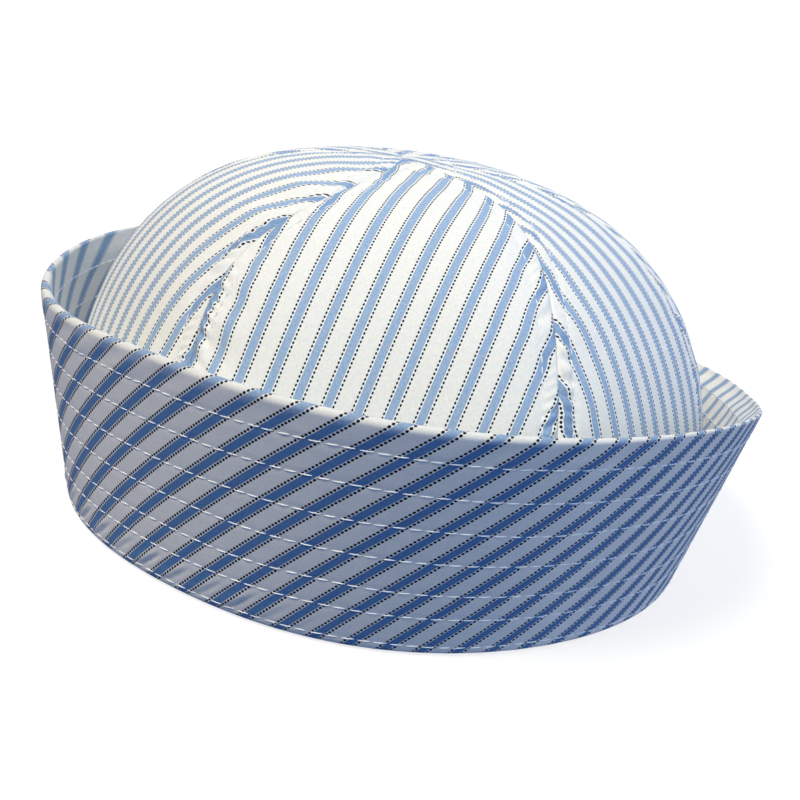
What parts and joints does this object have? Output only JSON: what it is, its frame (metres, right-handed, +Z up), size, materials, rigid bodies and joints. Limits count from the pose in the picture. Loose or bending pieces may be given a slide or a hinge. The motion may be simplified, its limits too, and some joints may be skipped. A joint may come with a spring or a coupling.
{
  "type": "sailor cap",
  "caption": "Striped cotton sailor cap: a rounded crown of sewn gores inside a wide stitched brim that is turned up all the way round.",
  "frame": {"origin": "on the surface the cap rests on, under the middle of the cap's box", "axes": "+Z up, the front of the cap faces -Y, +X to the right as seen from the front"},
  "size_m": [0.2155, 0.2332, 0.1072],
  "materials": {
    "brim_cloth": "woven cotton with blue stripes, stitched in rows",
    "crown_cloth": "woven cotton with blue stripes"
  },
  "bodies": {
    "root": {"brim": "brim_cloth", "crown_panel_front": "crown_cloth", "crown_panel_front_right": "crown_cloth", "crown_panel_back_right": "crown_cloth", "crown_panel_back": "crown_cloth", "crown_panel_back_left": "crown_cloth", "crown_panel_front_left": "crown_cloth"}
  },
  "joints": []
}
